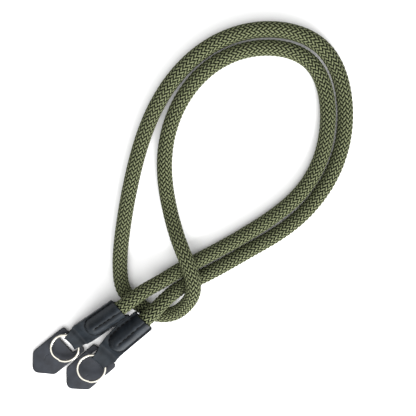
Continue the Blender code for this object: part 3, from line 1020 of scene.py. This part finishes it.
def ring_piece(end):
    """A flat wire is spun nearly twice round, and steps up from one coil to the next."""
    total = 720.0 - RING_RAMP - RING_OPEN
    count = int(total / RING_STEP)
    deselect()
    bpy.ops.mesh.primitive_plane_add(size=1.0, rotation=(math.pi / 2, 0.0, 0.0))
    obj = bpy.context.object
    obj.name = "ring_" + end.name
    obj.scale = (RING_WIRE_WIDTH * MM, RING_WIRE_HEIGHT * MM, 1.0)
    obj.location = (RING_MIDDLE * MM, 0.0, RING_WIRE_HEIGHT / 2 * MM)
    settle(obj)
    bpy.ops.object.mode_set(mode="EDIT")
    bpy.ops.mesh.select_mode(type="VERT")
    bpy.ops.mesh.select_all(action="SELECT")
    bpy.ops.mesh.bevel(offset=RING_CORNER * MM, segments=3, affect="VERTICES")
    bpy.ops.mesh.select_mode(type="FACE")
    bpy.ops.mesh.select_all(action="SELECT")
    bpy.ops.mesh.spin(steps=count, angle=math.radians(total), center=(0.0, 0.0, 0.0),
                      axis=(0.0, 0.0, 1.0), use_auto_merge=False)
    bpy.ops.object.mode_set(mode="OBJECT")
    lift = RING_WIRE_HEIGHT + RING_COIL_GAP
    for index, number in coil_sections(obj.data).items():
        angle = number * total / count
        rise = lift * ease((angle - 360.0 + RING_RAMP) / RING_RAMP)
        obj.data.vertices[index].co.z += rise * MM
    turn = math.radians(end.ring_turn)
    obj.data.transform(Matrix.Rotation(turn, 4, "Z"))
    pitch = end.guard_pitch() - math.radians(end.ring_tilt)
    low = end.guard_under(end.fold - RING_REST_BACK) + GUARD_THICKNESS + RING_REST_GAP
    x, y, _ = end.place(end.fold + end.ring_reach, end.ring_side, 0.0)
    obj.location = put((x, y, low - RING_OUTER_RADIUS * math.sin(pitch)))
    obj.rotation_euler = (0.0, pitch, math.radians(end.guard_heading))
    settle(obj)
    face_outwards(obj)
    bpy.ops.object.shade_smooth_by_angle(angle=math.radians(40.0))
    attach(obj, "root")
    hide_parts("split_ring_" + end.name)
    return obj


rings = [ring_piece(end) for end in ends]


# ---- materials -----------------------------------------------------------------------------
# The yarn's ramp, from painted shade to painted light, picked by each strand's crown, ride and
# flecks.
CORD_SHADED = "080a05"
CORD_MIDDLE = "1e2215"
CORD_LIT = "6b7053"
YARNS_ROUND_STRAND = 9.0
# How much a strand's ride and its flecks count beside its crown, for the painted light and
# shade, and a pore beside the grain.
RIDE_WEIGHT = 0.75
FLECK_WEIGHT = 0.5
PORE_WEIGHT = 0.6
# Painted shade that the sleeve leather takes in its stitch creases.
CREASE_PAINTED_SHADE = "06080a"


def cord_material():
    """Braided yarn, matt: a painted highlight along the top of each strand, and painted shade
    down its flanks and where it dips under others. Fine grooves between its yarns run along it."""
    material, shader = new_material("braided polyester yarn",
                                    {"Roughness": 0.62, "Specular IOR Level": 0.08})
    uv = node(material, "ShaderNodeUVMap", {"uv_map": "strand"}).outputs["UV"]
    split = node(material, "ShaderNodeSeparateXYZ", None, Vector=uv)
    # Painted light along each strand's top and painted shade below it, then painted shade where
    # it dips.
    turn = node(material, "ShaderNodeMath", {"operation": "MULTIPLY", 1: 2.0 * math.pi},
                i0=split.outputs["X"])
    crown = node(material, "ShaderNodeMath", {"operation": "SINE"}, i0=turn.outputs["Value"])
    height = node(material, "ShaderNodeAttribute", {"attribute_name": "ride_height"})
    rise = node(material, "ShaderNodeMath", {"operation": "MULTIPLY_ADD", 1: RIDE_WEIGHT},
                i0=height.outputs["Fac"], i2=crown.outputs["Value"])
    # Flecks of about 1.4 mm along the strand, and a seventh of the way round it.
    fleck = node(material, "ShaderNodeTexNoise", {"Scale": 7.0, "Detail": 4.0}, Vector=uv)
    cloud = node(material, "ShaderNodeMath", {"operation": "MULTIPLY_ADD", 1: FLECK_WEIGHT},
                 i0=fleck.outputs["Fac"], i2=rise.outputs["Value"])
    tone = node(material, "ShaderNodeMapRange", {"From Min": 0.65, "From Max": 1.95},
                Value=cloud.outputs["Value"])
    base = node(material, "ShaderNodeValToRGB",
                {"stops": ((0.0, CORD_SHADED), (0.5, CORD_MIDDLE), (1.0, CORD_LIT))},
                Fac=tone.outputs["Result"])
    yarns = node(material, "ShaderNodeMath",
                 {"operation": "MULTIPLY", 1: 2.0 * math.pi * YARNS_ROUND_STRAND},
                 i0=split.outputs["X"])
    wave = node(material, "ShaderNodeMath", {"operation": "SINE"}, i0=yarns.outputs["Value"])
    bump = node(material, "ShaderNodeBump", {"Strength": 0.6, "Distance": 0.1 * MM},
                Height=wave.outputs["Value"])
    join(material, shader, Base_Color=base.outputs["Color"], Normal=bump.outputs["Normal"])
    return material


def core_material():
    """Cord filling: dark yarn that only shows down in the gaps, kept near-black as painted shade
    there.
    """
    material, shader = new_material("dark cord filling",
                                    {"Roughness": 0.95, "Specular IOR Level": 0.1})
    place = node(material, "ShaderNodeTexCoord").outputs["Object"]
    fluff = node(material, "ShaderNodeTexNoise", {"Scale": marks(0.667), "Detail": 2.0},
                 Vector=place)
    base = node(material, "ShaderNodeValToRGB", {"stops": ((0.3, "0a0c05"), (0.7, "14170b"))},
                Fac=fluff.outputs["Fac"])
    join(material, shader, Base_Color=base.outputs["Color"])
    return material


def leather_material(name, body, high, rough, gloss, crease_shade=False):
    """Dyed and rolled cowhide: a fine grain and a satin finish, worn a little lighter in
    patches, and darkened with painted shade in the creases along the stitches. The
    grain is drawn coarser than the real one, so that it shows."""
    material, shader = new_material(name, {"Specular IOR Level": gloss})
    place = node(material, "ShaderNodeTexCoord").outputs["Object"]
    cloud = node(material, "ShaderNodeTexNoise", {"Scale": marks(6.25), "Detail": 6.0},
                 Vector=place)
    base = node(material, "ShaderNodeValToRGB", {"stops": ((0.36, body), (0.64, high))},
                Fac=cloud.outputs["Fac"]).outputs["Color"]
    # Painted shade: the leather darkens towards the crease colour where the crease attribute is
    # high.
    if crease_shade:
        depth = node(material, "ShaderNodeAttribute", {"attribute_name": "crease"})
        base = node(material, "ShaderNodeMix", {"data_type": "RGBA", 7: colour(CREASE_PAINTED_SHADE)},
                    i0=depth.outputs["Fac"], i6=base).outputs[2]
    pores = node(material, "ShaderNodeTexVoronoi", {"Scale": marks(0.667)}, Vector=place)
    grain = node(material, "ShaderNodeTexNoise", {"Scale": marks(1.43), "Detail": 6.0},
                 Vector=place)
    add = node(material, "ShaderNodeMath", {"operation": "MULTIPLY_ADD", 1: PORE_WEIGHT},
               i0=pores.outputs["Distance"], i2=grain.outputs["Fac"])
    bump = node(material, "ShaderNodeBump", {"Strength": 0.3, "Distance": 0.14 * MM},
                Height=add.outputs["Value"])
    rub = node(material, "ShaderNodeMapRange",
               {"From Min": 0.3, "From Max": 0.7, "To Min": rough - 0.06,
                "To Max": rough + 0.08}, Value=cloud.outputs["Fac"])
    join(material, shader, Base_Color=base, Normal=bump.outputs["Normal"],
         Roughness=rub.outputs["Result"])
    return material


def edge_material():
    """Cut edge, dyed and painted black: smooth, a little uneven where the brush went."""
    material, shader = new_material("painted leather edge",
                                    {"Roughness": 0.55, "Specular IOR Level": 0.35})
    place = node(material, "ShaderNodeTexCoord").outputs["Object"]
    brush = node(material, "ShaderNodeTexNoise", {"Scale": marks(1.11), "Detail": 3.0},
                 Vector=place)
    base = node(material, "ShaderNodeValToRGB", {"stops": ((0.3, "08090b"), (0.7, "121318"))},
                Fac=brush.outputs["Fac"])
    bump = node(material, "ShaderNodeBump", {"Strength": 0.3, "Distance": 0.1 * MM},
                Height=brush.outputs["Fac"])
    join(material, shader, Base_Color=base.outputs["Color"], Normal=bump.outputs["Normal"])
    return material


def thread_material():
    """Waxed black thread: plies laid round each other, nearly matt. The wave's bands are
    the plies, and at this scale they lie 0.73 mm apart."""
    material, shader = new_material("waxed black thread",
                                    {"Roughness": 0.75, "Specular IOR Level": 0.12})
    place = node(material, "ShaderNodeTexCoord").outputs["Object"]
    ply = node(material, "ShaderNodeTexWave",
               {"Scale": 500.0, "Distortion": 1.0, "bands_direction": "DIAGONAL"},
               Vector=place)
    base = node(material, "ShaderNodeValToRGB", {"stops": ((0.0, "010102"), (1.0, "060608"))},
                Fac=ply.outputs["Fac"])
    bump = node(material, "ShaderNodeBump", {"Strength": 0.4, "Distance": 0.1 * MM},
                Height=ply.outputs["Fac"])
    join(material, shader, Base_Color=base.outputs["Color"], Normal=bump.outputs["Normal"])
    return material


def ring_material():
    """Polished nickel plate on spring steel: warm white metal with faint rub marks."""
    material, shader = new_material("polished nickel plate", {"Metallic": 1.0})
    place = node(material, "ShaderNodeTexCoord").outputs["Object"]
    rub = node(material, "ShaderNodeTexNoise", {"Scale": marks(1.67), "Detail": 5.0},
               Vector=place)
    base = node(material, "ShaderNodeValToRGB", {"stops": ((0.3, "9f9c93"), (0.7, "b0ada4"))},
                Fac=rub.outputs["Fac"])
    dull = node(material, "ShaderNodeMapRange",
                {"From Min": 0.3, "From Max": 0.7, "To Min": 0.09, "To Max": 0.16},
                Value=rub.outputs["Fac"])
    join(material, shader, Base_Color=base.outputs["Color"], Roughness=dull.outputs["Result"])
    return material


yarn = cord_material()
for piece in braid:
    piece.data.materials.append(yarn)
core.data.materials.append(core_material())
sleeve_leather = leather_material("dyed cowhide sleeve", "14181c", "1f2429", 0.44, 0.13,
                                  crease_shade=True)
guard_leather = leather_material("dyed cowhide guard", "1c1e23", "26292f", 0.6, 0.2)
painted_edge = edge_material()
for pieces, leather in ((sleeves, sleeve_leather), (guards, guard_leather)):
    for piece in pieces:
        piece.data.materials[0] = leather
        piece.data.materials[1] = painted_edge
thread = thread_material()
for piece in threads:
    piece.data.materials.append(thread)
nickel = ring_material()
for piece in rings:
    piece.data.materials.append(nickel)


# ---- floor and light -----------------------------------------------------------------------
FLOOR_SIZE = 6.0
FLOOR_WHITE = "e7e7e7"
ROOM_WHITE = "ffffff"
ROOM_LIGHT = 0.5
# Each softbox: its compass angle and height as seen from the plan's middle, its distance and
# size in metres, and its watts.
SOFTBOXES = {
    "overhead softbox": (-80.0, 76.0, 1.4, 2.0, 31.0),
    "side softbox": (-66.0, 28.0, 1.4, 0.8, 48.0),
}


def floor_piece():
    """A wide sheet of matt white paper."""
    deselect()
    bpy.ops.mesh.primitive_plane_add(size=FLOOR_SIZE)
    floor = bpy.context.object
    floor.name = "floor"
    material, _ = new_material("matt white paper", {
        "Base Color": colour(FLOOR_WHITE), "Roughness": 0.9, "Specular IOR Level": 0.1})
    floor.data.materials.append(material)


def soft_light(name, azimuth, elevation, distance, size, power):
    """A square soft light that looks at the plan's middle from a compass angle and a height."""
    data = bpy.data.lights.new(name, "AREA")
    data.shape = "SQUARE"
    data.size = size
    data.energy = power
    lamp = bpy.data.objects.new(name, data)
    bpy.context.scene.collection.objects.link(lamp)
    a = math.radians(azimuth)
    e = math.radians(elevation)
    way = Vector((math.cos(a) * math.cos(e), math.sin(a) * math.cos(e), math.sin(e)))
    lamp.location = Vector(put((0.0, 0.0, 0.0))) + way * distance
    lamp.rotation_euler = (-way).to_track_quat("-Z", "Y").to_euler()


floor_piece()
for name, values in SOFTBOXES.items():
    soft_light(name, *values)
world = bpy.data.worlds.new("room")
bpy.context.scene.world = world
world.use_nodes = True
room = world.node_tree.nodes["Background"]
room.inputs["Color"].default_value = colour(ROOM_WHITE)
room.inputs["Strength"].default_value = ROOM_LIGHT
bpy.context.scene.view_settings.view_transform = "Standard"
bpy.context.scene.view_settings.look = "None"

bpy.context.view_layer.update()
